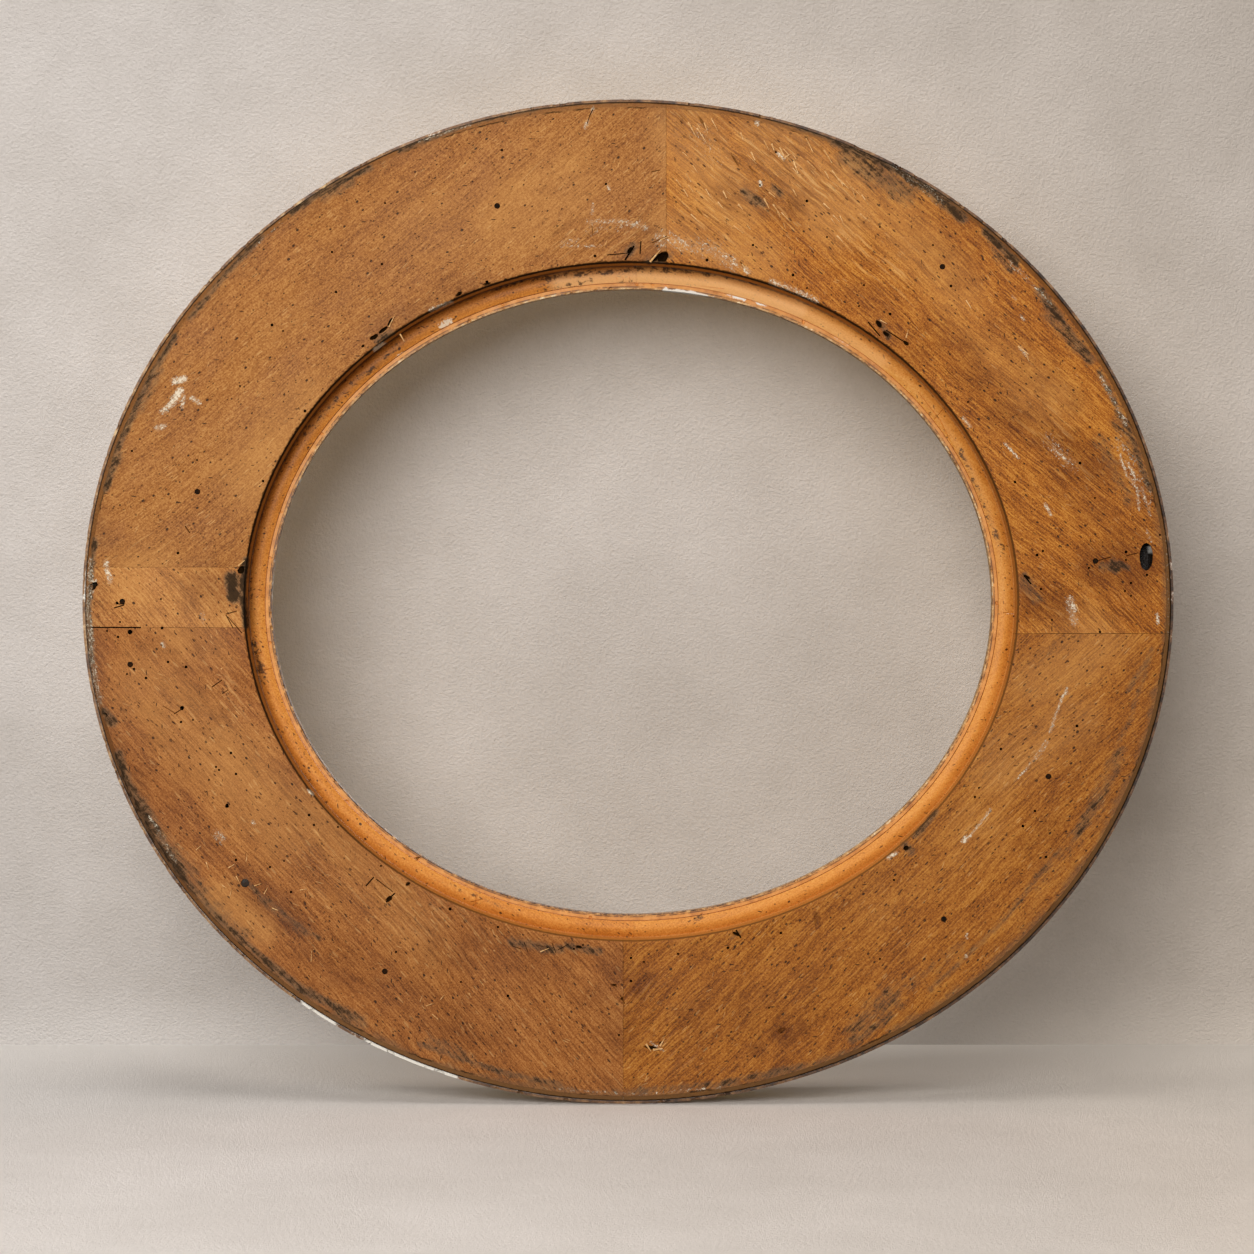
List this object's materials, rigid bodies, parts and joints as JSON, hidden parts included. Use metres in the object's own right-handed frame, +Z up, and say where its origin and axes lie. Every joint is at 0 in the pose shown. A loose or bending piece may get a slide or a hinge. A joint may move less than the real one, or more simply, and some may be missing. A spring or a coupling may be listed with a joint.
{
  "type": "oval picture frame",
  "caption": "Empty oval picture frame: laminated wooden back with a rebate for the picture, a gilded gesso front moulding and a blind hole for a wall hook.",
  "frame": {"origin": "centre of the oval's outline, at the middle of the frame's depth", "axes": "+X to the right as seen from the back, along the long axis; +Y towards the gilded front; +Z up"},
  "size_m": [0.453, 0.042, 0.417],
  "materials": {
    "back_wood": "old unfinished softwood, mid orange-brown, stained dark at the edges, with worm holes",
    "splice_wood": "old unfinished softwood, a little darker and cracked",
    "front_wood": "bare softwood lip, brighter orange than the back",
    "tongue_wood": "sawn softwood, hidden",
    "nail_iron": "dark rusted forged iron",
    "gilded_gesso": "aged burnished gold leaf over red bole and chalk gesso"
  },
  "bodies": {
    "root": {"back_board_upper_left": "back_wood", "back_board_upper_right": "back_wood", "back_board_lower_right": "back_wood", "back_board_lower_left": "back_wood", "left_splice_block": "splice_wood", "front_moulding_upper_left": "front_wood", "front_moulding_upper_right": "front_wood", "front_moulding_lower_right": "front_wood", "front_moulding_lower_left": "front_wood", "tongue_top": "tongue_wood", "tongue_bottom": "tongue_wood", "tongue_right": "tongue_wood", "tongue_left_upper": "tongue_wood", "tongue_left_lower": "tongue_wood", "nail_upper_left_low": "nail_iron", "nail_upper_left_high": "nail_iron", "nail_upper_right_high": "nail_iron", "nail_upper_right_low": "nail_iron", "nail_lower_right_high": "nail_iron", "nail_lower_right_low": "nail_iron", "nail_lower_left_low": "nail_iron", "nail_lower_left_middle": "nail_iron", "nail_lower_left_high": "nail_iron", "nail_splice_block": "nail_iron", "gilded_gesso_coat": "gilded_gesso"}
  },
  "joints": []
}
